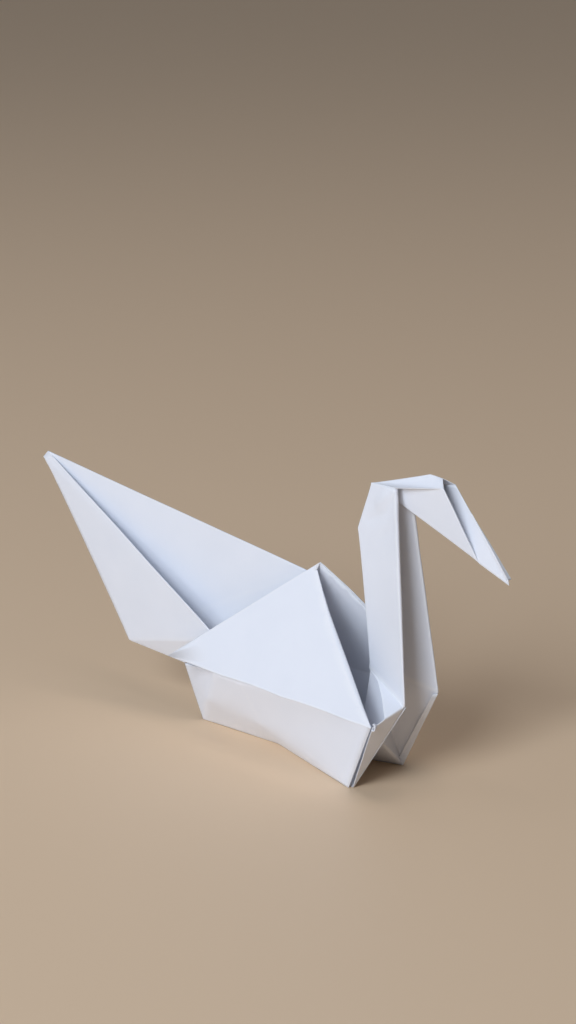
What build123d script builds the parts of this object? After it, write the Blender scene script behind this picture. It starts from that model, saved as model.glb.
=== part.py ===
from build123d import *
import os

# Origami swan folded from one square sheet of white paper.
# It swims towards +X, and +Z is up. Its right half, on the -Y side, mirrors its left half in the XZ plane,
# apart from the cheeks and the tail's walls, which differ as the hand-folded paper does.
# All sizes are in millimetres. Heights are measured from the table. Reaches run forwards from the feet,
# setbacks run backwards from them, and a spread is the full distance between the two halves.

# Sheet: the pressed layers of a wall, the round along a fold and the narrow turned-in edges
wall_thickness = 0.24
fold_radius = 0.15
neck_turn_width = 0.75
wing_hem_width = 0.8
wing_hem_depth = 0.4

# Underside: the closed keel, the two front feet and the tunnel between them
foot_spread = 17.2
foot_slot_width = 0.7
foot_slot_reach = 0.5
tunnel_length = 26.1
keel_length = 21.4
tunnel_height = 7.3
tunnel_mouth_reach = 1.6

# Wings: each is a triangle with its top corner on the centre plane
wing_top_height = 41.5
wing_top_setback = 14.9
wing_front_reach = 8.0
wing_front_spread = 23.2
wing_front_height = 15.7
wing_rear_setback = 48.9
wing_rear_spread = 18.0
wing_rear_height = 16.4

# Flank below each wing, with a bulged panel between two creases that run down to the keel
bulge_rear_share = 0.24
bulge_front_share = 0.355
bulge_low_setback = 40.7
bulge_low_spread = 12.0
bulge_low_height = 7.6
crease_setback = 26.6
crease_spread = 11.0
crease_height = 5.7
crease_keel_share = 0.2

# Chest and neck: a trough that is open at the front, with its spine at the back
chest_reach = 11.2
chest_spread = 10.8
chest_height = 18.8
spine_foot_setback = 2.1
spine_foot_height = 22.2
nape_bend_setback = 5.5
nape_bend_height = 50.8
crown_rear_setback = 2.1
crown_rear_height = 60.2
neck_top_reach = 5.9
neck_top_spread = 5.2
neck_top_height = 61.1

# Head and beak, folded forward between the neck walls
crown_peak_reach = 12.6
crown_peak_height = 64.6
crown_front_reach = 15.4
crown_front_height = 64.2
brow_reach = 17.1
brow_spread = 3.7
brow_height = 62.9
beak_reach = 31.4
beak_height = 46.4
short_cheek_share = 0.79
beak_cut_height = 1.1
beak_hem_width = 1.0
beak_hem_share = 0.3
beak_lean = 0.3

# Tail: a trough that opens upwards, with its keel underneath and a blunt tip
tail_tip_setback = 95.1
tail_tip_height = 49.3
tail_cut_length = 1.6
tail_heel_setback = 69.8
tail_heel_height = 12.6
tail_root_setback = 52.8
tail_root_height = 11.3
right_rim_setback = 37.2
right_rim_spread = 5.9
right_rim_height = 21.4
left_rim_setback = 19.4
left_rim_spread = 1.6
left_rim_height = 38.4


def along(start, end, share):
    """A point part of the way from one point to another."""
    return start + (end - start) * share


def other_side(point):
    """The same point on the left half of the bird."""
    return Vector(point.X, -point.Y, point.Z)


def panel(*corners):
    """A flat panel of the sheet, with its corners on the middle of the paper."""
    across = corners[1] - corners[0]
    normal = across.cross(corners[2] - corners[0])
    middle = Plane(origin=corners[0], x_dir=across, z_dir=normal)
    with BuildPart() as sheet:
        with BuildSketch(middle):
            with BuildLine():
                Polyline([middle.to_local_coords(corner) for corner in corners], close=True)
            make_face()
        extrude(amount=wall_thickness / 2, both=True)
    return sheet.part


def fold(start, end):
    """The round along a fold, where the paper turns from one panel into the next."""
    with BuildPart() as round_edge:
        with BuildSketch(Plane(origin=start, z_dir=end - start)):
            Circle(fold_radius)
        extrude(amount=(end - start).length)
    return round_edge.part


# Corners of the underside. The gusset and the tunnel meet just inside the flank's foot, which leaves a slot.
foot = Vector(0, -foot_spread / 2, 0)
inner_foot = foot + Vector(foot_slot_reach, foot_slot_width, 0)
keel_front = Vector(-tunnel_length, 0, 0)
keel_rear = Vector(-tunnel_length - keel_length, 0, 0)
tunnel_mouth = Vector(tunnel_mouth_reach, 0, tunnel_height)

# Corners of the wing and the flank
wing_top = Vector(-wing_top_setback, 0, wing_top_height)
wing_front = Vector(wing_front_reach, -wing_front_spread / 2, wing_front_height)
wing_rear = Vector(-wing_rear_setback, -wing_rear_spread / 2, wing_rear_height)
bulge_rear = along(wing_rear, wing_front, bulge_rear_share)
bulge_front = along(wing_rear, wing_front, bulge_front_share)
bulge_low = Vector(-bulge_low_setback, -bulge_low_spread / 2, bulge_low_height)
crease_bend = Vector(-crease_setback, -crease_spread / 2, crease_height)
crease_end = along(keel_front, keel_rear, crease_keel_share)

# Corners of the neck and the head
chest = Vector(chest_reach, -chest_spread / 2, chest_height)
spine_foot = Vector(-spine_foot_setback, 0, spine_foot_height)
nape_bend = Vector(-nape_bend_setback, 0, nape_bend_height)
crown_rear = Vector(-crown_rear_setback, 0, crown_rear_height)
neck_top = Vector(neck_top_reach, -neck_top_spread / 2, neck_top_height)
crown_peak = Vector(crown_peak_reach, 0, crown_peak_height)
crown_front = Vector(crown_front_reach, 0, crown_front_height)
brow = Vector(brow_reach, -brow_spread / 2, brow_height)
left_brow = other_side(brow)
beak_tip = Vector(beak_reach, 0, beak_height)
beak_top = beak_tip + Vector(0, beak_lean, beak_cut_height)
short_cheek_end = along(crown_rear, beak_tip, short_cheek_share)

# Corners of the tail
tail_tip = Vector(-tail_tip_setback, 0, tail_tip_height)
tail_tip_top = tail_tip + Vector(tail_cut_length, 0, tail_cut_length)
tail_heel = Vector(-tail_heel_setback, 0, tail_heel_height)
tail_root = Vector(-tail_root_setback, 0, tail_root_height)
right_rim = Vector(-right_rim_setback, -right_rim_spread, right_rim_height)
left_rim = Vector(-left_rim_setback, left_rim_spread, left_rim_height)

# Panels of the right half of the body: the flank, the wing with its hem, and the chest with its tunnel
wing_inward = (wing_rear - wing_front).cross(wing_top - wing_front).normalized() * wing_hem_depth
wing_hem = (wing_front - wing_rear).normalized() * wing_hem_width + wing_inward
body_panels = [
    panel(tail_root, keel_rear, bulge_low),
    panel(tail_root, bulge_low, bulge_rear),
    panel(bulge_low, keel_rear, crease_end),
    panel(bulge_low, crease_end, crease_bend),
    panel(bulge_low, crease_bend, bulge_front),
    panel(bulge_low, bulge_front, bulge_rear),
    panel(crease_bend, crease_end, keel_front),
    panel(crease_bend, keel_front, foot),
    panel(crease_bend, foot, wing_front),
    panel(crease_bend, wing_front, bulge_front),
    panel(wing_rear, wing_top, wing_front),
    panel(wing_top, wing_front, wing_front + wing_hem, wing_top + wing_hem),
    panel(spine_foot, wing_front, chest),
    panel(wing_front, chest, inner_foot),
    panel(spine_foot, chest, inner_foot),
    panel(spine_foot, inner_foot, tunnel_mouth),
    panel(keel_front, inner_foot, tunnel_mouth),
]

# Panels of the right half of the neck and the crown, and the neck's turned-in front edge
neck_turn = Vector(0, neck_turn_width, 0)
neck_panels = [
    panel(spine_foot, chest, neck_top),
    panel(spine_foot, neck_top, nape_bend),
    panel(nape_bend, neck_top, crown_rear),
    panel(chest, neck_top, neck_top + neck_turn, chest + neck_turn),
    panel(crown_rear, neck_top, brow),
    panel(crown_rear, brow, crown_peak),
    panel(brow, crown_peak, crown_front),
]

# Folds of the right half, as lines that the paper turns around
half_folds = [
    fold(keel_rear, keel_front),
    fold(keel_front, foot),
    fold(foot, wing_front),
    fold(inner_foot, chest),
    fold(inner_foot, tunnel_mouth),
    fold(keel_front, tunnel_mouth),
    fold(wing_front, chest),
    fold(wing_front, wing_top),
    fold(spine_foot, chest),
    fold(spine_foot, tunnel_mouth),
    fold(wing_rear, wing_front),
    fold(tail_root, keel_rear),
    fold(spine_foot, nape_bend),
    fold(nape_bend, crown_rear),
    fold(chest, neck_top),
    fold(crown_rear, neck_top),
    fold(neck_top, brow),
    fold(crown_rear, crown_peak),
    fold(crown_peak, crown_front),
]

# The cheeks: the right one stops short of the beak's tip, and the left one runs out to a hemmed tip
cheek_parts = [
    panel(crown_rear, brow, short_cheek_end),
    panel(crown_rear, left_brow, beak_tip),
    panel(left_brow, beak_top, beak_tip),
    panel(along(left_brow, beak_top, beak_hem_share), beak_top, beak_top + Vector(0, beak_hem_width, 0)),
    fold(crown_rear, beak_tip),
]

# The tail's two walls, joined at the keel
tail_parts = [fold(tail_tip, tail_heel), fold(tail_heel, tail_root)]
for rim in (right_rim, left_rim):
    tail_parts += [
        panel(tail_tip, tail_heel, rim),
        panel(tail_tip, rim, tail_tip_top),
        panel(tail_heel, tail_root, rim),
    ]

with BuildPart() as folded_sheet:
    add(body_panels + neck_panels + half_folds)
    mirror(about=Plane.XZ)
    add(cheek_parts + tail_parts)

# The origin is on the table, under the middle of the bird
extent = folded_sheet.part.bounding_box()
origin = Vector(extent.center().X, extent.center().Y, extent.min.Z)
with BuildPart() as swan:
    with Locations(-origin):
        add(folded_sheet.part)

os.makedirs("parts", exist_ok=True)
swan.part.label = "swan"
export_step(swan.part, "parts/swan.step")
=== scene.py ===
"""The looks of a swan folded from one square sheet of white paper.

The bird swims towards +X and stands on the floor at z = 0. Lengths are written in millimetres in the
bird's own frame, whose zero lies between the two front feet, and Bird.build turns them into metres. The
lamps and the floor are given in metres.
"""
import logging
import math
from dataclasses import dataclass, field
from enum import Enum

import bmesh
import bpy
from mathutils import Matrix, Vector, noise


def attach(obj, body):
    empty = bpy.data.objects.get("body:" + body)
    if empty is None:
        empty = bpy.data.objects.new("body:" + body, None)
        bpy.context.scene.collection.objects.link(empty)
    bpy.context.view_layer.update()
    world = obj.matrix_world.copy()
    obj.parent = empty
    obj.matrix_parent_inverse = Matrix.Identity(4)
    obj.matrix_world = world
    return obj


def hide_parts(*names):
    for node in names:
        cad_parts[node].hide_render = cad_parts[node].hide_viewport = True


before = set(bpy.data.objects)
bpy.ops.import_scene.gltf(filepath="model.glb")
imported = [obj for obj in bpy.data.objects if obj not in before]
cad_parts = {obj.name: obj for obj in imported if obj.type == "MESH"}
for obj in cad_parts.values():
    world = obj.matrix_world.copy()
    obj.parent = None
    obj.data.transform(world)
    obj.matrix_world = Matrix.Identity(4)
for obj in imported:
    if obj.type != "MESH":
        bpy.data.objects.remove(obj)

log = logging.getLogger("swan")

Triple = tuple[float, float, float]
Line = tuple[Vector, Vector]

MM = 0.001


class Side(Enum):
    """The two halves of the bird, by the sign of Y."""

    RIGHT = -1
    LEFT = 1


def on_side(place: Triple, side: Side) -> Vector:
    """A point or a direction on one half of the bird.

    Args:
        place: Its reach, distance from the centre plane, and height.
        side: The half of the bird that it is on.

    Returns:
        The point or direction.
    """
    x, half_y, z = place
    return Vector((x, half_y * side.value, z))


def toward_middle(direction: Vector, side: Side) -> Vector:
    """A direction or its opposite, whichever points from one half toward the centre plane."""
    return direction if direction.y * side.value < 0 else -direction


def share_point(start: Vector, end: Vector, share: float) -> Vector:
    """The point part of the way between two points, where share 0 is the first."""
    return start + (end - start) * share


def smooth_rise(share: float, full: float) -> float:
    """A number that grows from 0 to its full size as share grows from 0 to 1, slowly at both ends."""
    return full * share * share * (3 - 2 * share)


def line_gap(point: Vector, lines: list[Line]) -> float:
    """The distance from a point to the nearest of some lines.

    Args:
        point: The point.
        lines: The lines, each by its two ends.

    Returns:
        The distance, which is infinite where there are no lines.
    """
    nearest = math.inf
    for start, end in lines:
        along = end - start
        share = max(0.0, min(1.0, (point - start).dot(along) / along.length_squared))
        nearest = min(nearest, (point - start - along * share).length)
    return nearest


def settle(mesh: bmesh.types.BMesh, verts: list[bmesh.types.BMVert], passes: int) -> None:
    """Draw some points of a mesh halfway to the middle of their neighbours, several times over.

    Args:
        mesh: The mesh.
        verts: The points that move.
        passes: How many times they move.
    """
    for _ in range(passes if verts else 0):
        bmesh.ops.smooth_vert(
            mesh, verts=verts, factor=0.5, use_axis_x=True, use_axis_y=True, use_axis_z=True
        )


def place_object(name: str, data: bpy.types.ID) -> bpy.types.Object:
    """Put a new object into the scene.

    Args:
        name: The object's name.
        data: Its mesh, lamp or camera.

    Returns:
        The object.
    """
    placed = bpy.data.objects.new(name, data)
    bpy.context.collection.objects.link(placed)
    return placed


@dataclass
class BirdShape:
    """Sizes of the folded bird in millimetres, and the corner points they give."""

    feet_ahead_of_origin: float = 31.868
    fold_round: float = 0.15
    keel_drop: float = 0.07
    foot_spread: float = 17.2
    foot_slot_width: float = 0.7
    foot_slot_reach: float = 0.5
    tunnel_length: float = 26.1
    keel_length: float = 21.4
    tunnel_height: float = 7.3
    tunnel_mouth_reach: float = 1.6
    wing_top_height: float = 41.5
    wing_top_setback: float = 14.9
    wing_front_reach: float = 8.0
    wing_front_spread: float = 23.2
    wing_front_height: float = 15.7
    left_wing_front: Triple = (6.6, 9.4, 17.3)
    wing_rear_setback: float = 48.9
    wing_rear_spread: float = 18.0
    wing_rear_height: float = 16.4
    bulge_rear_share: float = 0.24
    bulge_front_share: float = 0.355
    bulge_low_setback: float = 40.7
    bulge_low_spread: float = 12.0
    bulge_low_height: float = 7.6
    crease_setback: float = 26.6
    crease_spread: float = 11.0
    crease_height: float = 5.7
    crease_keel_share: float = 0.2
    chest_reach: float = 11.2
    chest_spread: float = 10.8
    chest_height: float = 18.8
    spine_foot_setback: float = 2.1
    spine_foot_height: float = 22.2
    nape_bend_setback: float = 5.5
    nape_bend_height: float = 50.8
    crown_rear_setback: float = 2.1
    crown_rear_height: float = 60.2
    neck_top_reach: float = 5.9
    neck_top_spread: float = 5.2
    neck_top_height: float = 61.1
    crown_peak_reach: float = 12.6
    crown_peak_height: float = 64.6
    crown_front_reach: float = 15.4
    crown_front_height: float = 64.2
    brow_reach: float = 17.1
    brow_spread: float = 3.7
    brow_height: float = 62.9
    beak_reach: float = 31.4
    beak_height: float = 46.4
    short_cheek_share: float = 0.79
    beak_cut_height: float = 1.1
    beak_lean: float = 0.3
    beak_hem_width: float = 1.0
    beak_hem_share: float = 0.3
    tail_tip_setback: float = 95.1
    tail_tip_height: float = 49.3
    tail_cut_length: float = 1.6
    tail_heel_setback: float = 69.8
    tail_heel_height: float = 12.6
    tail_root_setback: float = 52.8
    tail_root_height: float = 11.3
    right_rim_setback: float = 37.2
    right_rim_spread: float = 5.9
    right_rim_height: float = 21.4
    left_rim_setback: float = 19.4
    left_rim_spread: float = 1.6
    left_rim_height: float = 38.4

    def shift(self) -> Vector:
        """The move from the bird's own frame to the frame of the solid part."""
        return Vector((self.feet_ahead_of_origin, 0.0, self.fold_round))

    def corner(self, name: str, side: Side = Side.RIGHT) -> Vector:
        """One named corner of the fold.

        Args:
            name: The corner's name.
            side: The half of the bird that the corner is on.

        Returns:
            The corner in millimetres, in the bird's own frame.
        """
        if name == "wing_front" and side is Side.LEFT:
            return Vector(self.left_wing_front)
        return on_side(self._table()[name], side)

    def wing_corners(self, side: Side) -> list[Vector]:
        """A wing's rear, top and front corners."""
        return [self.corner(f"wing_{end}", side) for end in ("rear", "top", "front")]

    def tail_rim(self, side: Side) -> Vector:
        """The front end of a tail wall's upper edge, inside the body.

        Args:
            side: Which wall.

        Returns:
            The point in millimetres, in the bird's own frame.
        """
        if side is Side.RIGHT:
            return on_side((-self.right_rim_setback, self.right_rim_spread, self.right_rim_height), side)
        return on_side((-self.left_rim_setback, self.left_rim_spread, self.left_rim_height), side)

    def _table(self) -> dict[str, Triple]:
        """Every corner of the fold.

        Returns:
            Each corner's reach, distance from the centre plane, and height, by its name.
        """
        inner_foot = self.foot_spread / 2 - self.foot_slot_width
        crease_end = self.tunnel_length + self.keel_length * self.crease_keel_share
        tail_top = self.tail_tip_height + self.tail_cut_length
        base = -self.keel_drop
        return {
            "foot": (0.0, self.foot_spread / 2, base),
            "inner_foot": (self.foot_slot_reach, inner_foot, base),
            "keel_front": (-self.tunnel_length, 0.0, base),
            "keel_rear": (-self.tunnel_length - self.keel_length, 0.0, base),
            "crease_end": (-crease_end, 0.0, base),
            "tunnel_mouth": (self.tunnel_mouth_reach, 0.0, self.tunnel_height),
            "wing_top": (-self.wing_top_setback, 0.0, self.wing_top_height),
            "wing_front": (self.wing_front_reach, self.wing_front_spread / 2, self.wing_front_height),
            "wing_rear": (-self.wing_rear_setback, self.wing_rear_spread / 2, self.wing_rear_height),
            "bulge_low": (-self.bulge_low_setback, self.bulge_low_spread / 2, self.bulge_low_height),
            "crease_bend": (-self.crease_setback, self.crease_spread / 2, self.crease_height),
            "chest": (self.chest_reach, self.chest_spread / 2, self.chest_height),
            "spine_foot": (-self.spine_foot_setback, 0.0, self.spine_foot_height),
            "nape_bend": (-self.nape_bend_setback, 0.0, self.nape_bend_height),
            "crown_rear": (-self.crown_rear_setback, 0.0, self.crown_rear_height),
            "neck_top": (self.neck_top_reach, self.neck_top_spread / 2, self.neck_top_height),
            "crown_peak": (self.crown_peak_reach, 0.0, self.crown_peak_height),
            "crown_front": (self.crown_front_reach, 0.0, self.crown_front_height),
            "brow": (self.brow_reach, self.brow_spread / 2, self.brow_height),
            "beak_tip": (self.beak_reach, 0.0, self.beak_height),
            "beak_top": (self.beak_reach, self.beak_lean, self.beak_height + self.beak_cut_height),
            "tail_tip": (-self.tail_tip_setback, 0.0, self.tail_tip_height),
            "tail_top": (self.tail_cut_length - self.tail_tip_setback, 0.0, tail_top),
            "tail_heel": (-self.tail_heel_setback, 0.0, self.tail_heel_height),
            "tail_root": (-self.tail_root_setback, 0.0, self.tail_root_height),
        }


@dataclass(frozen=True)
class PaperFinish:
    """White uncoated paper: its colours, the scales of its texture, and how much each part of it counts."""

    colour: Triple = (0.83, 0.85, 0.91)
    shade_colour: Triple = (0.795, 0.82, 0.885)
    # Lighter paper along folds and raw edges: rubbed wear, and also a painted highlight where the rounded
    # folds catch the light.
    wear_and_highlight_colour: Triple = (0.88, 0.89, 0.92)
    roughness: float = 0.80
    roughness_range: float = 0.10
    sheen: float = 0.08
    specular: float = 0.28
    cloud_scale: float = 110.0
    cloud_detail: float = 4.0
    cloud_contrast: float = 1.6
    cloud_cut: float = 0.3
    fibre_scale: float = 1300.0
    fibre_detail: float = 3.0
    fibre_middle: float = 0.5
    fibre_squeeze: Triple = (1.0, 5.0, 1.6)
    tooth_scale: float = 2300.0
    tooth_detail: float = 2.0
    # How much of that painted highlight and wear shows along folds, everywhere and where the clouds are.
    wear_highlight_everywhere: float = 0.35
    wear_highlight_in_clouds: float = 0.5
    tooth_height: float = 0.6
    fibre_height: float = 0.4
    worn_fibre_height: float = 1.4
    bump_distance: float = 0.00003
    bump_strength: float = 0.5


class Value:
    """A shader value that arithmetic works on, each step as one Math node."""

    def __init__(self, tree: bpy.types.NodeTree, socket: bpy.types.NodeSocket) -> None:
        """Wrap an output socket of a node tree."""
        self.tree = tree
        self.socket = socket

    def _math(self, operation: str, first: "Value | float", second: "Value | float") -> "Value":
        """One Math node.

        Args:
            operation: The node's operation.
            first: The first input.
            second: The second input.

        Returns:
            The node's output.
        """
        node = self.tree.nodes.new("ShaderNodeMath")
        node.operation = operation
        for socket, value in zip(node.inputs, (first, second)):
            if isinstance(value, Value):
                self.tree.links.new(value.socket, socket)
            else:
                socket.default_value = value
        return Value(self.tree, node.outputs[0])

    def __add__(self, other: "Value | float") -> "Value":
        """The sum."""
        return self._math("ADD", self, other)

    __radd__ = __add__

    def __mul__(self, other: "Value | float") -> "Value":
        """The product."""
        return self._math("MULTIPLY", self, other)

    __rmul__ = __mul__

    def __sub__(self, other: "Value | float") -> "Value":
        """The difference."""
        return self._math("SUBTRACT", self, other)

    def __rsub__(self, other: float) -> "Value":
        """The difference from a number."""
        return self._math("SUBTRACT", other, self)

    def clamped(self) -> "Value":
        """The value held between 0 and 1."""
        return self._math("MINIMUM", self._math("MAXIMUM", self, 0.0), 1.0)


class Nodes:
    """A node tree, with one method for every node that isn't arithmetic."""

    def __init__(self, tree: bpy.types.NodeTree) -> None:
        """Start from an empty tree."""
        self.tree = tree
        self.tree.nodes.clear()

    def node(self, kind: str, settings: dict[str, object] | None = None, **inputs: object) -> bpy.types.Node:
        """Add a node.

        Args:
            kind: The node's type.
            settings: Properties of the node that are set before its sockets.
            inputs: Values or links by socket name, with underscores for spaces.

        Returns:
            The node.
        """
        made = self.tree.nodes.new(kind)
        for key, value in (settings or {}).items():
            setattr(made, key, value)
        for key, value in inputs.items():
            self._fill(self._socket(made, key.replace("_", " ")), value)
        return made

    def _fill(self, socket: bpy.types.NodeSocket, value: object) -> None:
        """Link a socket or set its value.

        Args:
            socket: The input socket.
            value: A wrapped value or a socket, which is linked, or else the value to set.
        """
        if isinstance(value, Value):
            self.tree.links.new(value.socket, socket)
        elif isinstance(value, bpy.types.NodeSocket):
            self.tree.links.new(value, socket)
        else:
            socket.default_value = value

    @staticmethod
    def _socket(made: bpy.types.Node, name: str) -> bpy.types.NodeSocket:
        """The enabled input of that name, since some nodes repeat a name for each data type."""
        return next(s for s in made.inputs if s.name == name and s.enabled)

    def value(self, socket: bpy.types.NodeSocket) -> Value:
        """Wrap an output for arithmetic."""
        return Value(self.tree, socket)

    def noise(self, where: bpy.types.NodeSocket, scale: float, detail: float) -> Value:
        """A noise texture's height at a place."""
        made = self.node("ShaderNodeTexNoise", Vector=where, Scale=scale, Detail=detail)
        return self.value(made.outputs[0])

    def blend(self, share: Value, first: object, second: object) -> bpy.types.NodeSocket:
        """A colour between two colours.

        Args:
            share: 0 for the first colour and 1 for the second.
            first: A colour or a colour socket.
            second: A colour or a colour socket.

        Returns:
            The mixed colour's socket.
        """
        mix = self.node("ShaderNodeMix", {"data_type": "RGBA"}, Factor=share)
        for name, value in (("A", first), ("B", second)):
            colour = value if isinstance(value, bpy.types.NodeSocket) else (*value, 1.0)
            self._fill(self._socket(mix, name), colour)
        return next(s for s in mix.outputs if s.enabled)


def new_material(name: str) -> tuple[bpy.types.Material, Nodes]:
    """An empty node material.

    Args:
        name: The material's name.

    Returns:
        The material and its nodes.
    """
    material = bpy.data.materials.new(name)
    material.use_nodes = True
    return material, Nodes(material.node_tree)


@dataclass
class PaperMaterial:
    """Builds the paper's material from its finish."""

    finish: PaperFinish = PaperFinish()

    def build(self) -> bpy.types.Material:
        """Make the paper: clouded white, a fine tooth, loose fibres, and folds and raw edges painted lighter,
        partly as rubbed wear and partly as a painted highlight.

        Returns:
            The material.
        """
        f = self.finish
        material, s = new_material("white_paper")
        where = s.node("ShaderNodeTexCoord").outputs["Object"]
        along = s.node("ShaderNodeMapping", Vector=where, Scale=f.fibre_squeeze).outputs[0]
        cloud = s.noise(where, f.cloud_scale, f.cloud_detail)
        fibre = s.noise(along, f.fibre_scale, f.fibre_detail)
        tooth = s.noise(where, f.tooth_scale, f.tooth_detail)
        wear_and_highlight = s.value(s.node("ShaderNodeAttribute", {"attribute_name": "fold_wear"}).outputs["Fac"])
        base = s.blend((cloud * f.cloud_contrast - f.cloud_cut).clamped(), f.colour, f.shade_colour)
        # Folds and raw edges painted lighter: rubbed wear and a painted highlight of the light that the
        # rounded folds catch.
        rubbed_and_highlit = s.blend((wear_and_highlight * (f.wear_highlight_everywhere + f.wear_highlight_in_clouds * cloud)).clamped(), base, f.wear_and_highlight_colour)
        height = f.tooth_height * tooth + f.fibre_height * fibre + f.worn_fibre_height * wear_and_highlight * fibre
        bump = s.node("ShaderNodeBump", Height=height, Distance=f.bump_distance, Strength=f.bump_strength)
        skin = s.node(
            "ShaderNodeBsdfPrincipled",
            Base_Color=rubbed_and_highlit,
            Roughness=f.roughness + f.roughness_range * (fibre - f.fibre_middle),
            Normal=bump.outputs[0],
            Sheen_Weight=f.sheen,
            Specular_IOR_Level=f.specular,
        )
        s.node("ShaderNodeOutputMaterial", Surface=skin.outputs[0])
        return material


@dataclass(frozen=True)
class Crease:
    """An old crease in a panel: a shallow groove or ridge, deepest halfway along its line.

    It fades out past both ends, over a share of its length.
    """

    start: Triple
    end: Triple
    push: Triple
    width: float
    fade: float = 0.1

    def lift(self, point: Vector) -> Vector:
        """How far the crease moves a point of the paper.

        Args:
            point: The point.

        Returns:
            The move, which is none beyond the crease's ends.
        """
        start, end = Vector(self.start), Vector(self.end)
        along = end - start
        share = (point - start).dot(along) / along.length_squared
        if not -self.fade < share < 1.0 + self.fade:
            return Vector()
        gap = (point - start - along * share).length
        reach = (share + self.fade) / (1.0 + 2.0 * self.fade)
        taper = math.sin(math.pi * min(1.0, reach)) ** 0.5
        return Vector(self.push) * (math.exp(-((gap / self.width) ** 2)) * taper)


@dataclass
class Layer:
    """One layer of the sheet: panels that meet at folds, made into one curved surface."""

    name: str
    thickness: float = 0.12
    grid: int = 18
    edge_pace: float = 0.45
    ripple: float = 0.09
    ripple_scale: float = 0.11
    ripple_reach: float = 3.0
    round_reach: float = 0.45
    round_passes: int = 5
    relax_passes: int = 160
    # How strongly folds and raw edges are painted lighter, as wear and as a painted highlight, and how far
    # that reaches.
    wear_and_highlight: float = 1.0
    wear_and_highlight_reach: float = 0.45
    weld: float = 0.004
    seed: float = 0.0
    panels: list[tuple[Vector, Vector, Vector, str]] = field(default_factory=list)
    strips: list[list[list[Vector]]] = field(default_factory=list)
    creases: list[Crease] = field(default_factory=list)

    def add(self, *corners: Vector, patch: str = "") -> "Layer":
        """Add a panel with three or more corners, as a fan of triangles from the first.

        Args:
            corners: The panel's corners in order.
            patch: Triangles with the same patch name curve into each other. Without one, they meet at folds.

        Returns:
            This layer.
        """
        for second, third in zip(corners[1:], corners[2:]):
            self.panels.append((corners[0], second, third, patch or f"flat {len(self.panels)}"))
        return self

    def roll(
        self, edge: list[Vector], radii: list[float], ahead: Vector, inward: Vector, turn: float, facets: int
    ) -> list[Vector]:
        """Roll the paper over along an edge.

        Args:
            edge: The points of the edge where the roll starts.
            radii: The roll's radius at each point.
            ahead: The direction that the paper runs in.
            inward: The direction that it turns to.
            turn: The angle that it turns through, in radians.
            facets: How many facets the roll has.

        Returns:
            The points where the roll ends.
        """
        rows = []
        for step in range(facets + 1):
            angle = turn * step / facets
            rows.append([
                point + ahead * radius * math.sin(angle) + inward * radius * (1.0 - math.cos(angle))
                for point, radius in zip(edge, radii)
            ])
        self.strips.append(rows)
        return rows[-1]

    def _edges(self) -> dict[tuple, list[str]]:
        """Every edge of the panels.

        Returns:
            The patches beside each edge, by the edge's two ends.
        """
        found: dict[tuple, list[str]] = {}
        for a, b, c, patch in self.panels:
            for start, end in ((a, b), (b, c), (c, a)):
                key = tuple(sorted((tuple(round(v, 4) for v in start), tuple(round(v, 4) for v in end))))
                found.setdefault(key, []).append(patch)
        return found

    def _lines(self, raw: bool) -> list[Line]:
        """The layer's raw edges or its folds.

        Args:
            raw: Whether the raw edges are wanted. The folds lie between different patches.

        Returns:
            The lines, each by its two ends.
        """
        return [
            (Vector(start), Vector(end))
            for (start, end), patches in self._edges().items()
            if (len(patches) == 1 if raw else len(set(patches)) > 1)
        ]

    def _ease(self, share: float) -> float:
        """A share from 0 to 1 whose steps are closer together near both ends."""
        return self.edge_pace * share + smooth_rise(share, 1.0 - self.edge_pace)

    def _fill_panel(
        self, mesh: bmesh.types.BMesh, a: Vector, b: Vector, c: Vector
    ) -> list[bmesh.types.BMFace]:
        """Fill one triangle with a fine grid.

        Args:
            mesh: The mesh that takes the grid.
            a: The triangle's first corner.
            b: Its second corner.
            c: Its third corner.

        Returns:
            The grid's faces.
        """
        n = self.grid
        verts, faces = {}, []
        for i in range(n + 1):
            for j in range(n + 1 - i):
                weights = [self._ease(k / n) for k in (n - i - j, i, j)]
                blend = a * weights[0] + b * weights[1] + c * weights[2]
                verts[i, j] = mesh.verts.new(blend / sum(weights))
        for i in range(n):
            for j in range(n - i):
                faces.append(mesh.faces.new((verts[i, j], verts[i + 1, j], verts[i, j + 1])))
                if i + j < n - 1:
                    faces.append(mesh.faces.new((verts[i + 1, j], verts[i + 1, j + 1], verts[i, j + 1])))
        return faces

    def _fill_strip(self, mesh: bmesh.types.BMesh, rows: list[list[Vector]]) -> None:
        """Fill a rolled strip with quads that match the grids of the panels beside it.

        Args:
            mesh: The mesh that takes the quads.
            rows: The strip's points, row by row.
        """
        n = self.grid
        lattice = []
        for row in rows:
            points = [
                share_point(start, end, self._ease(i / n))
                for start, end in zip(row, row[1:])
                for i in range(n)
            ]
            lattice.append([mesh.verts.new(point) for point in points + [row[-1]]])
        for near, far in zip(lattice, lattice[1:]):
            for k in range(len(near) - 1):
                mesh.faces.new((near[k], near[k + 1], far[k + 1], far[k]))

    def _relax(self, mesh: bmesh.types.BMesh, patch_of: bmesh.types.BMLayerItem, soft: set[int]) -> None:
        """Let the inside of each patch of several triangles settle into one smooth surface.

        Args:
            mesh: The layer's mesh.
            patch_of: The number of each face's patch.
            soft: The numbers of the patches that have several triangles.
        """
        inner = [
            v for v in mesh.verts
            if not v.is_boundary and len({f[patch_of] for f in v.link_faces}) == 1
            and v.link_faces[0][patch_of] in soft
        ]
        settle(mesh, inner, self.relax_passes)

    def _waviness(self, vert: bmesh.types.BMVert, gap: float) -> Vector:
        """How far the paper's waviness moves a point.

        Args:
            vert: The point.
            gap: Its distance from the nearest fold, where the paper is held straight.

        Returns:
            The move.
        """
        free = min(1.0, gap / self.ripple_reach)
        wave = noise.noise(vert.co * self.ripple_scale + Vector((self.seed, 0.0, 0.0)))
        return vert.normal * smooth_rise(free, self.ripple * wave)

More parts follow.
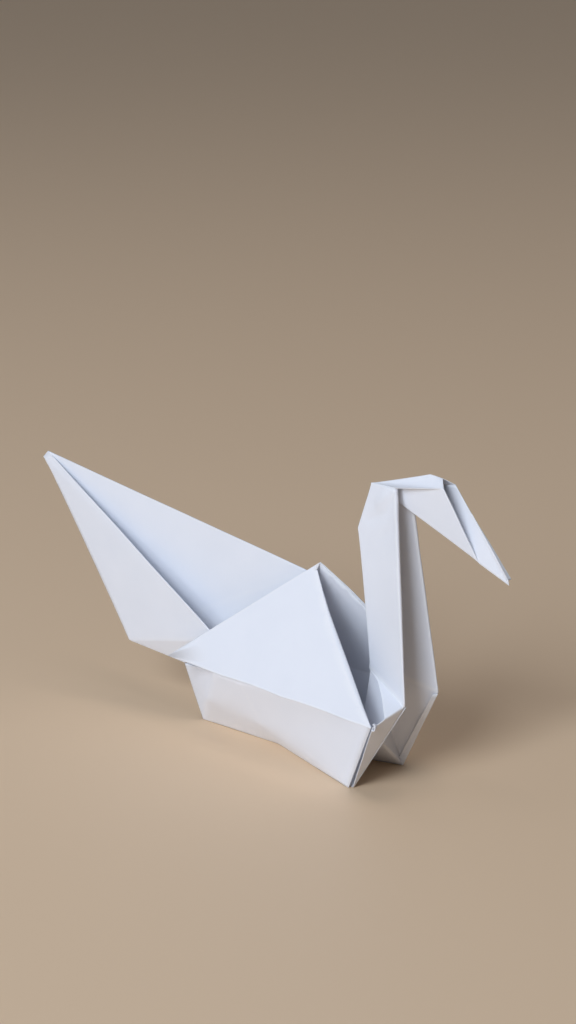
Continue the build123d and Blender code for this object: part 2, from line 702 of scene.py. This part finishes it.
    def build(self) -> bmesh.types.BMesh:
        """Make the layer as a mesh in millimetres.

        Returns:
            An open surface with a float attribute for the wear and the painted highlight along folds.
        """
        mesh = bmesh.new()
        wear_and_highlight = mesh.verts.layers.float.new("fold_wear")
        patch_of = mesh.faces.layers.int.new("patch")
        patches = [patch for *_, patch in self.panels]
        names = sorted(set(patches))
        for a, b, c, patch in self.panels:
            for face in self._fill_panel(mesh, a, b, c):
                face[patch_of] = names.index(patch) + 1
        for rows in self.strips:
            self._fill_strip(mesh, rows)
        bmesh.ops.remove_doubles(mesh, verts=mesh.verts, dist=self.weld)
        bmesh.ops.recalc_face_normals(mesh, faces=mesh.faces)
        self._relax(mesh, patch_of, {names.index(name) + 1 for name in names if patches.count(name) > 1})
        folds, raw = self._lines(False), self._lines(True)
        mesh.normal_update()
        near = []
        for vert in mesh.verts:
            gap = line_gap(vert.co, folds)
            # Strength of the wear and painted highlight, fading out from folds and raw edges.
            vert[wear_and_highlight] = self.wear_and_highlight * max(0.0, 1.0 - min(gap, line_gap(vert.co, raw)) / self.wear_and_highlight_reach)
            if gap < self.round_reach and not vert.is_boundary:
                near.append(vert)
            vert.co += self._waviness(vert, gap)
            for crease in self.creases:
                vert.co += crease.lift(vert.co)
        settle(mesh, near, self.round_passes)
        return mesh


@dataclass(frozen=True)
class WingEdge:
    """The front edge of a wing.

    Each station is a share of the way down from the top, how far the edge bows back there, and the width
    of its hem.
    """

    stations: tuple[Triple, ...]


NEAR_EDGE = WingEdge((
    (0.03, 1.45, 0.15),
    (0.16, 1.80, 0.35),
    (0.29, 2.15, 0.75),
    (0.48, 2.30, 1.35),
    (0.68, 1.87, 1.30),
    (0.88, 1.13, 0.90),
    (0.985, 0.35, 0.35),
))
FAR_EDGE = WingEdge((
    (0.02, -0.14, 0.15),
    (0.11, -0.70, 0.40),
    (0.23, -1.40, 0.60),
    (0.35, -1.75, 0.70),
    (0.60, -1.50, 0.70),
    (0.85, -0.70, 0.60),
    (0.985, -0.05, 0.35),
))
# Waves of the wing's lower edge: the shares where each starts and ends, and how far it rises
WING_EDGE_WAVES = (
    (0.20, 0.34, -0.16),
    (0.36, 0.50, 0.16),
    (0.52, 0.63, -0.14),
    (0.66, 0.80, 0.14),
    (0.82, 0.93, -0.10),
)
# The shoulder's inner edge, as shares of the way from the spine's foot to the wing's corner and to the chest
SHOULDER_CURVE = ((0.0, 0.0), (0.064, 0.242), (0.272, 0.337), (0.454, 0.365), (0.61, 0.39))
# Old creases near the top of the neck's right wall, and a small dent by the chest's left corner
NECK_CREASES = [
    Crease((0.2, -2.1, 49.0), (3.2, -2.85, 51.3), (0.0, 0.24, 0.0), 1.1),
    Crease((2.0, -2.4, 50.9), (6.9, -3.6, 52.9), (0.0, 0.46, 0.0), 0.8),
    Crease((6.2, -3.5, 51.9), (7.3, -3.9, 51.7), (0.0, -0.30, 0.0), 0.6),
    Crease((-2.6, -0.9, 52.6), (3.2, -2.5, 55.3), (0.0, 0.28, 0.0), 1.1),
    Crease((0.4, -1.3, 56.5), (3.8, -2.1, 59.6), (0.0, -0.34, 0.0), 1.1),
    Crease((3.2, -2.4, 55.1), (5.6, -2.9, 59.4), (0.0, 0.34, 0.0), 0.9),
    Crease((11.0, 5.1, 18.9), (8.3, 4.1, 19.9), (0.0, -0.2, 0.0), 0.35),
]


@dataclass
class Bird:
    """The folded bird: its layers, joined into one piece of paper."""

    shape: BirdShape = field(default_factory=BirdShape)
    layer_gap: float = 0.16
    lining_inset: float = 0.3
    hem_turn: float = 1.3
    hem_stretch: float = 0.83
    hem_facets: int = 5
    hem_end_radius: float = 0.1
    wing_overhang: float = 0.3
    wing_lift: float = 0.1
    wing_rear_share: float = 0.5
    wave_width: float = 0.9
    neck_roll: float = 0.38
    chest_roll: float = 0.12
    neck_roll_facets: int = 8
    neck_lining_gap: float = 0.3
    gusset_tuck: Triple = (0.1, -0.3, -0.2)
    chest_hem_turn: tuple[Triple, Triple] = ((-1.0, -0.25, -0.15), (-0.5, -0.7, 1.7))
    chest_hem_depth: float = 2.8
    chest_hem_slant: float = 1.8
    tail_tip_gap: float = 0.04
    curl_centre: Triple = (0.15, 0.35, -0.3)
    curl_reach: float = 0.55
    curl_height: float = 0.68
    curl_length: float = 0.5
    curl_thickness: float = 0.24
    curl_start: float = 95.0
    curl_turn: float = -225.0
    curl_facets: int = 14
    smooth_angle: float = 34.0

    def layers(self) -> list[Layer]:
        """All the layers of the bird.

        Returns:
            The layers, of both halves.
        """
        made = [self.neck(), self.tail(), self.crown(), self.cheeks(), self.tunnel(), self.curl()]
        for side in Side:
            made += [self.body(side), self.wing(side), self.chest_hem(side)]
        return made

    def _front_edge(self, side: Side, more: float = 0.0) -> tuple[list[Vector], Vector, list[float]]:
        """The bowed front edge of a wing's face.

        Args:
            side: Which wing.
            more: How much further back the edge lies, for a layer that stays behind the face.

        Returns:
            The edge's points from top to bottom, the direction ahead in the wing's plane, and the widths
            of the hem.
        """
        rear, top, front = self.shape.wing_corners(side)
        down = (front - top).normalized()
        ahead = ((top - rear) - down * (top - rear).dot(down)).normalized()
        stations = (NEAR_EDGE if side is Side.RIGHT else FAR_EDGE).stations
        points = [share_point(top, front, share) - ahead * (bow + more) for share, bow, _ in stations]
        return points, ahead, [width for _, _, width in stations]

    def _wing_inward(self, side: Side) -> Vector:
        """The direction square to a wing that points into the body."""
        rear, top, front = self.shape.wing_corners(side)
        return toward_middle((front - rear).cross(top - rear).normalized(), side)

    def wing(self, side: Side) -> Layer:
        """The outer layer of a wing, with a hem that rolls inward along its front edge.

        Args:
            side: Which wing.

        Returns:
            The layer.
        """
        rear, top, front = self.shape.wing_corners(side)
        edge, ahead, widths = self._front_edge(side)
        inward = self._wing_inward(side)
        layer = Layer(f"wing_{side.name}", seed=11.0 + side.value, grid=16, ripple=0.16, ripple_scale=0.07)
        for first, last, rise in WING_EDGE_WAVES:
            start, end = (tuple(share_point(rear, front, share)) for share in (first, last))
            layer.creases.append(Crease(start, end, (0.0, 0.0, rise), self.wave_width))
        proud = Vector((0.0, 0.0, -self.wing_overhang)) - inward * self.wing_lift
        rear, front = rear + proud * self.wing_rear_share, front + proud
        layer.add(rear, top, *edge, front, patch="face")
        radii = [self.hem_stretch * width / self.hem_turn for width in widths] + [self.hem_end_radius]
        layer.roll([*edge, front], radii, ahead, inward, self.hem_turn, self.hem_facets)
        return layer

    def body(self, side: Side) -> Layer:
        """The inner layer of one half: the wing's lining and the flank below it, down to the keel.

        Args:
            side: Which half.

        Returns:
            The layer.
        """
        p = self.shape.corner
        offset = self._wing_inward(side) * self.layer_gap
        edge, _, _ = self._front_edge(side, self.lining_inset)
        rim = [point + offset for point in edge]
        rear, top, front = (corner + offset for corner in self.shape.wing_corners(side))
        bulge_rear = share_point(rear, front, self.shape.bulge_rear_share)
        bulge_front = share_point(rear, front, self.shape.bulge_front_share)
        root, keel_rear, low = p("tail_root"), p("keel_rear"), p("bulge_low", side)
        bend, crease_end, keel_front = p("crease_bend", side), p("crease_end"), p("keel_front")
        layer = Layer(
            f"body_{side.name}",
            seed=3.0 * side.value,
            grid=20,
            ripple=0.06,
            round_reach=0.9,
            round_passes=6,
            wear_and_highlight=0.3,
        )
        layer.add(bulge_front, top, *rim, front, patch="lining")
        layer.add(bulge_front, bulge_rear, top, patch="lining").add(bulge_rear, rear, top, patch="lining")
        layer.add(root, keel_rear, low, bulge_rear, patch="stern")
        layer.add(low, keel_rear, crease_end, bend, bulge_front, bulge_rear, patch="bulge")
        layer.add(bend, crease_end, keel_front, p("foot", side), front, bulge_front, patch="flank")
        return layer

    def neck(self) -> Layer:
        """The neck with its rolled front edges and lining, the shoulders, and the gussets down to the feet.

        Returns:
            The layer.
        """
        layer = Layer("neck", seed=23.0, grid=26, ripple=0.13, ripple_scale=0.16, creases=NECK_CREASES)
        for side in Side:
            self._neck_half(layer, side)
        return layer

    def _neck_half(self, layer: Layer, side: Side) -> None:
        """Add one half of the neck.

        Args:
            layer: The neck's layer.
            side: Which half.
        """
        p = self.shape.corner
        spine, bend, rear = p("spine_foot"), p("nape_bend"), p("crown_rear")
        chest, top, foot = p("chest", side), p("neck_top", side), p("inner_foot", side)
        inward = toward_middle((chest - spine).cross(top - spine).normalized(), side)
        forward = (top - chest).cross(inward).normalized()
        if forward.x < 0:
            forward = -forward
        wall, lining = f"wall {side.name}", f"lining {side.name}"
        chest_edge, top_edge = chest - forward * self.chest_roll, top - forward * self.neck_roll
        layer.add(spine, chest_edge, top_edge, bend, patch=wall).add(bend, top_edge, rear, patch=wall)
        radii = [self.chest_roll, self.neck_roll]
        chest_in, top_in = layer.roll(
            [chest_edge, top_edge], radii, forward, inward, math.pi, self.neck_roll_facets
        )
        ahead = Vector((self.neck_lining_gap, 0.0, 0.0))
        spine_in, bend_in, rear_in = spine + ahead, bend + ahead, rear + ahead
        layer.add(spine_in, chest_in, top_in, bend_in, patch=lining)
        layer.add(bend_in, top_in, rear_in, patch=lining)
        corner = p("wing_front", side) + on_side(self.gusset_tuck, side)
        curve = [spine + (corner - spine) * u + (chest_edge - spine) * v for u, v in SHOULDER_CURVE]
        layer.add(chest_edge, *curve, patch=f"shoulder {side.name}")
        layer.add(foot, chest_edge, curve[-1], corner, patch=f"gusset {side.name}")
        layer.add(spine_in, chest_in, foot, p("tunnel_mouth"))

    def chest_hem(self, side: Side) -> Layer:
        """The narrow strip turned in along the chest's front edge, down to a foot.

        Args:
            side: Which half.

        Returns:
            The layer.
        """
        p = self.shape.corner
        chest, foot, spine = p("chest", side), p("inner_foot", side), p("spine_foot")
        inward = toward_middle((chest - spine).cross(foot - spine).normalized(), side) * self.layer_gap
        turned_top, turned_foot = (on_side(turn, side) for turn in self.chest_hem_turn)
        upper, lower = chest + inward * self.chest_hem_depth, foot + inward
        slant = inward * self.chest_hem_slant
        layer = Layer(f"chest_hem_{side.name}", seed=53.0, grid=12, ripple=0.04)
        return layer.add(upper, lower, lower + turned_foot + slant, upper + turned_top + slant)

    def tunnel(self) -> Layer:
        """The roof of the tunnel between the feet.

        Returns:
            The layer.
        """
        p = self.shape.corner
        layer = Layer("tunnel", seed=31.0)
        for side in Side:
            layer.add(p("keel_front"), p("inner_foot", side), p("tunnel_mouth"))
        return layer

    def crown(self) -> Layer:
        """The top of the head, from the neck's top to the brow.

        Returns:
            The layer.
        """
        p = self.shape.corner
        rear, peak, front = p("crown_rear"), p("crown_peak"), p("crown_front")
        layer = Layer("crown", seed=37.0, grid=22, ripple=0.05)
        for side in Side:
            brow, patch = p("brow", side), f"crown {side.name}"
            layer.add(rear, p("neck_top", side), brow, peak, patch=patch)
            layer.add(brow, peak, front, patch=patch)
        return layer

    def cheeks(self) -> Layer:
        """The cheeks. The left one runs out to the beak's hemmed tip and the right one stops short.

        Returns:
            The layer.
        """
        p = self.shape.corner
        rear, tip, cut = p("crown_rear"), p("beak_tip"), p("beak_top")
        end = share_point(rear, tip, self.shape.short_cheek_share)
        left_brow = p("brow", Side.LEFT)
        hem_start = share_point(left_brow, cut, self.shape.beak_hem_share)
        layer = Layer("cheeks", seed=43.0, grid=26, ripple=0.10, ripple_scale=0.14)
        layer.add(rear, p("brow"), end)
        layer.add(rear, left_brow, end, patch="left").add(left_brow, end, tip, patch="left")
        layer.add(left_brow, cut, tip, patch="left")
        layer.add(hem_start, cut, cut + Vector((0.0, self.shape.beak_hem_width, 0.0)))
        return layer

    def tail(self) -> Layer:
        """The tail's two walls, joined at the keel, with a blunt tip.

        Returns:
            The layer.
        """
        p = self.shape.corner
        tip, top, heel, root = p("tail_tip"), p("tail_top"), p("tail_heel"), p("tail_root")
        layer = Layer(
            "tail",
            thickness=0.18,
            seed=41.0,
            grid=34,
            ripple=0.26,
            ripple_scale=0.06,
            ripple_reach=5.0,
            round_reach=0.6,
            round_passes=3,
            wear_and_highlight=0.3,
        )
        for side in Side:
            rim = self.shape.tail_rim(side)
            end = top + on_side((0.0, self.tail_tip_gap, 0.0), side)
            layer.add(tip, heel, rim, end, patch=f"wall {side.name}").add(heel, root, rim)
        return layer

    def curl(self) -> Layer:
        """The tiny curled end of the right wing's hem.

        Returns:
            The layer.
        """
        centre = self.shape.corner("wing_front") + Vector(self.curl_centre)
        across = Vector((0.0, self.curl_length, 0.0))
        rows = []
        for step in range(self.curl_facets + 1):
            angle = math.radians(self.curl_start + self.curl_turn * step / self.curl_facets)
            reach, height = self.curl_reach * math.cos(angle), self.curl_height * math.sin(angle)
            point = centre + Vector((reach, 0.0, height))
            rows.append([point, point + across])
        return Layer("curl", grid=6, ripple=0.0, thickness=self.curl_thickness, strips=[rows])

    def build(self) -> bpy.types.Object:
        """Join every layer into one object, in metres and in the frame of the solid part.

        Returns:
            The paper bird.
        """
        joined = bmesh.new()
        for layer in self.layers():
            joined.from_mesh(self._thickened(layer))
        joined.transform(Matrix.Scale(MM, 4) @ Matrix.Translation(self.shape.shift()))
        whole = bpy.data.meshes.new("swan_paper")
        joined.to_mesh(whole)
        joined.free()
        bird = place_object("swan_paper", whole)
        for face in whole.polygons:
            face.use_smooth = True
        with bpy.context.temp_override(object=bird, active_object=bird, selected_editable_objects=[bird]):
            bpy.ops.object.shade_auto_smooth(angle=math.radians(self.smooth_angle))
        return bird

    @staticmethod
    def _thickened(layer: Layer) -> bpy.types.Mesh:
        """One layer's mesh with its paper thickness.

        Args:
            layer: The layer.

        Returns:
            A closed thin mesh in millimetres.
        """
        surface = layer.build()
        data = bpy.data.meshes.new(layer.name)
        surface.to_mesh(data)
        surface.free()
        piece = place_object(layer.name, data)
        thicken = piece.modifiers.new("thickness", "SOLIDIFY")
        thicken.thickness = layer.thickness
        thicken.offset = 0.0
        solid = bpy.data.meshes.new_from_object(piece.evaluated_get(bpy.context.evaluated_depsgraph_get()))
        bpy.data.objects.remove(piece)
        log.info("layer %s: %d faces", layer.name, len(solid.polygons))
        return solid


@dataclass(frozen=True)
class Lamp:
    """A square area lamp that points at the bird. Its place and size are in metres and its power in watts."""

    name: str
    place: Triple
    size: float
    power: float
    colour: Triple
    aim_height: float = 0.03

    def build(self) -> None:
        """Hang the lamp."""
        data = bpy.data.lights.new(self.name, "AREA")
        data.size = self.size
        data.energy = self.power
        data.color = self.colour
        lamp = place_object(self.name, data)
        lamp.location = self.place
        aim = Vector((0.0, 0.0, self.aim_height)) - Vector(self.place)
        lamp.rotation_euler = aim.to_track_quat("-Z", "Y").to_euler()


LAMPS = (
    Lamp("low_window", (-0.11, -1.92, 0.42), 0.7, 7.6, (0.81, 0.89, 1.0)),
    Lamp("high_window", (0.19, -1.08, 0.74), 0.6, 10.6, (0.81, 0.89, 1.0)),
    Lamp("rear_window", (-0.88, -0.55, 0.35), 0.5, 0.6, (0.80, 0.88, 1.0)),
    Lamp("ceiling", (0.0, 0.0, 1.2), 0.5, 2.2, (1.0, 0.92, 0.88)),
)


@dataclass
class Studio:
    """The floor, the lamps, the room and the camera."""

    camera_place: Triple = (282.34, -346.81, 182.99)
    camera_turn: float = 41.41
    camera_dip: float = 16.015
    lens: float = 84.375
    film_height: float = 36.0
    nearest_seen: float = 0.01
    floor_size: float = 6.0
    floor_colour: Triple = (0.84, 0.63, 0.43)
    floor_roughness: float = 0.55
    room_colour: Triple = (0.62, 0.76, 1.0)
    room_strength: float = 0.07
    seen_colour: Triple = (0.62, 0.56, 0.49)
    seen_strength: float = 1.0

    def build(self, shape: BirdShape) -> None:
        """Make the whole set.

        Args:
            shape: The bird's sizes, which place the camera.
        """
        self._floor()
        self._camera(shape.shift())
        for lamp in LAMPS:
            lamp.build()
        self._room()
        bpy.context.scene.view_settings.view_transform = "Standard"

    def _floor(self) -> None:
        """A plain tan floor."""
        half = self.floor_size / 2
        corners = [(-half, -half, 0), (half, -half, 0), (half, half, 0), (-half, half, 0)]
        data = bpy.data.meshes.new("floor")
        data.from_pydata(corners, [], [(0, 1, 2, 3)])
        floor = place_object("floor", data)
        material, s = new_material("floor_paint")
        colour = (*self.floor_colour, 1.0)
        skin = s.node("ShaderNodeBsdfPrincipled", Base_Color=colour, Roughness=self.floor_roughness)
        s.node("ShaderNodeOutputMaterial", Surface=skin.outputs[0])
        data.materials.append(material)

    def _room(self) -> None:
        """Soft light from all round, and a plain pale background where a view looks past the floor."""
        world = bpy.data.worlds.new("soft_room")
        world.use_nodes = True
        s = Nodes(world.node_tree)
        light, seen = (
            s.node("ShaderNodeBackground", Color=(*colour, 1.0), Strength=strength)
            for colour, strength in (
                (self.room_colour, self.room_strength),
                (self.seen_colour, self.seen_strength),
            )
        )
        rays = s.node("ShaderNodeLightPath").outputs
        kinds = ("Is Camera Ray", "Is Glossy Ray", "Is Transmission Ray")
        straight, glossy, through = (s.value(rays[kind]) for kind in kinds)
        mix = s.node("ShaderNodeMixShader", Fac=(straight + glossy + through).clamped())
        s.tree.links.new(light.outputs[0], mix.inputs[1])
        s.tree.links.new(seen.outputs[0], mix.inputs[2])
        s.node("ShaderNodeOutputWorld", Surface=mix.outputs[0])
        bpy.context.scene.world = world

    def _camera(self, shift: Vector) -> None:
        """The camera, ahead of the bird and to its right.

        Args:
            shift: The move from the bird's own frame to the frame of the solid part, in millimetres.
        """
        data = bpy.data.cameras.new("view")
        data.sensor_fit = "VERTICAL"
        data.sensor_height = self.film_height
        data.lens = self.lens
        data.clip_start = self.nearest_seen
        camera = place_object("view", data)
        camera.location = (Vector(self.camera_place) + shift) * MM
        camera.rotation_euler = (math.radians(90.0 - self.camera_dip), 0.0, math.radians(self.camera_turn))
        bpy.context.scene.camera = camera


def main() -> None:
    """Build the bird and the set."""
    logging.basicConfig(level=logging.INFO)
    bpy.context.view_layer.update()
    swan = Bird()
    Studio().build(swan.shape)
    bird = swan.build()
    bird.data.materials.append(PaperMaterial().build())
    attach(bird, "root")
    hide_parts("swan")
    log.info("piece %s: %d faces", bird.name, len(bird.data.polygons))


if __name__ == "__main__":
    main()
